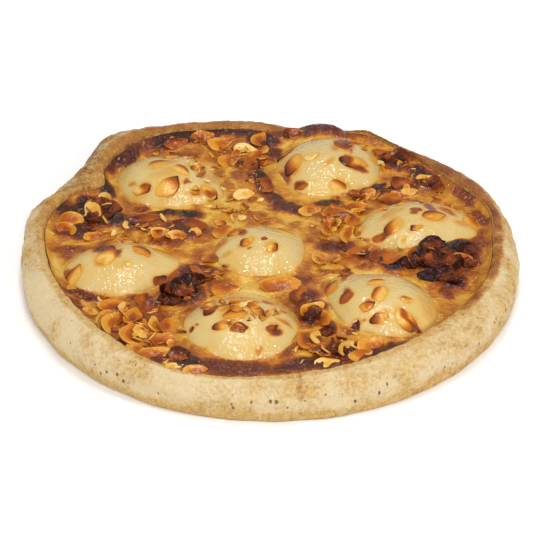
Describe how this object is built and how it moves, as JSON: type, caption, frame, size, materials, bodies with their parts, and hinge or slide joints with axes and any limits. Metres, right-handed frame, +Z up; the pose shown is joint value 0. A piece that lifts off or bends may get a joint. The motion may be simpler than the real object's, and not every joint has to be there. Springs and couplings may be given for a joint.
{
  "type": "pear frangipane tart",
  "caption": "Round shortcrust tart filled with browned frangipane, with glazed poached pear halves and toasted flaked almonds baked into its top.",
  "frame": {"origin": "centre of the flat underside, where the tart stands on the table", "axes": "+Z up through the tart's middle, -Y towards the viewer, so the lap seam in the pastry is at the front"},
  "size_m": [0.2504, 0.2521, 0.0291],
  "materials": {
    "shortcrust": "baked sweet shortcrust, matt and floury, paler on the rim, amber where syrup ran",
    "frangipane": "baked almond filling, browned and glossy with a thin clear glaze",
    "pear": "poached pear flesh, creamy yellow, moist and glazed",
    "almond": "toasted flaked almond, pale with browned edges"
  },
  "bodies": {
    "root": {"crust": "shortcrust", "frangipane": "frangipane", "pear_front": "pear", "pear_centre": "pear", "pear_front_right": "pear", "pear_right": "pear", "pear_back_right": "pear", "pear_back_left": "pear", "pear_left": "pear"}
  },
  "joints": []
}
